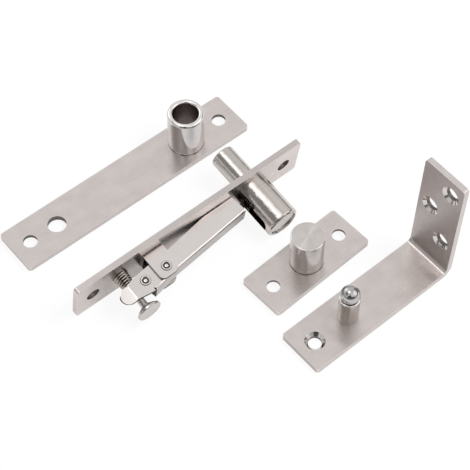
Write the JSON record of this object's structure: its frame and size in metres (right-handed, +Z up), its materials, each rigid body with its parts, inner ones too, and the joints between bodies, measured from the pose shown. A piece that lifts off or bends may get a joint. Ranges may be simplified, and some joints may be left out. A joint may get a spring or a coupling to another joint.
{
  "type": "pivot hinge",
  "caption": "Concealed pivot hinge set for a swing door: socket plate, pivot plate with a lever that draws its pin back, cup plate, and L bracket with a ball-tipped pin.",
  "frame": {"origin": "middle of the footprint of the four fittings laid out on a table, at the table", "axes": "+Z up from the table; +X along the long plates, from the end with the adjusting screw to the end with the pivot pin"},
  "size_m": [0.1512, 0.1476, 0.0631],
  "materials": {
    "plate_steel": "satin brushed stainless steel",
    "polished_steel": "polished",
    "turned_steel": "bright turned",
    "ground_steel": "bright ground",
    "folded_sheet": "nickel plated, satin",
    "rivet_steel": "bright",
    "screw_steel": "satin",
    "spring_steel": "drawn wire, brownish",
    "cup_steel": "turned, satin"
  },
  "bodies": {
    "fittings": {"socket_plate": "plate_steel", "pin_socket": "polished_steel", "pivot_plate": "plate_steel", "pin_barrel": "turned_steel", "barrel_end_cap": "turned_steel", "lever_bracket": "folded_sheet", "fulcrum_rivet": "rivet_steel", "return_spring": "spring_steel", "cup_plate": "plate_steel", "pivot_cup": "cup_steel", "jamb_bracket": "plate_steel", "lower_pin": "ground_steel", "pivot_ball": "polished_steel"},
    "lever": {"retracting_lever": "folded_sheet", "tie_rivet": "rivet_steel"},
    "pin": {"pivot_pin": "ground_steel"},
    "screw": {"adjusting_screw": "screw_steel"}
  },
  "joints": [
    {"name": "lever_pivot", "type": "hinge", "parent": "fittings", "child": "lever", "pos_m": [-0.03099, 0.00553, 0.01031], "axis": [-0.0012, 0.1511, -0.9885], "range_deg": [0, 14.54], "deforming": ["return_spring"]},
    {"name": "pin_slide", "type": "slide", "parent": "fittings", "child": "pin", "axis": [0.0078, -0.9885, -0.1511], "range_m": [0, 0.015], "stiffness_N_per_m": 170, "springref_m": -0.009},
    {"name": "screw_travel", "type": "slide", "parent": "fittings", "child": "screw", "axis": [-0.0078, 0.9885, 0.1511], "range_m": [0, 0.0067]}
  ],
  "couplings": [
    {"joint": "lever_pivot", "follows": "pin_slide", "rad_per_m": 16.918},
    {"joint": "screw_travel", "follows": "pin_slide", "ratio": 0.44666}
  ]
}
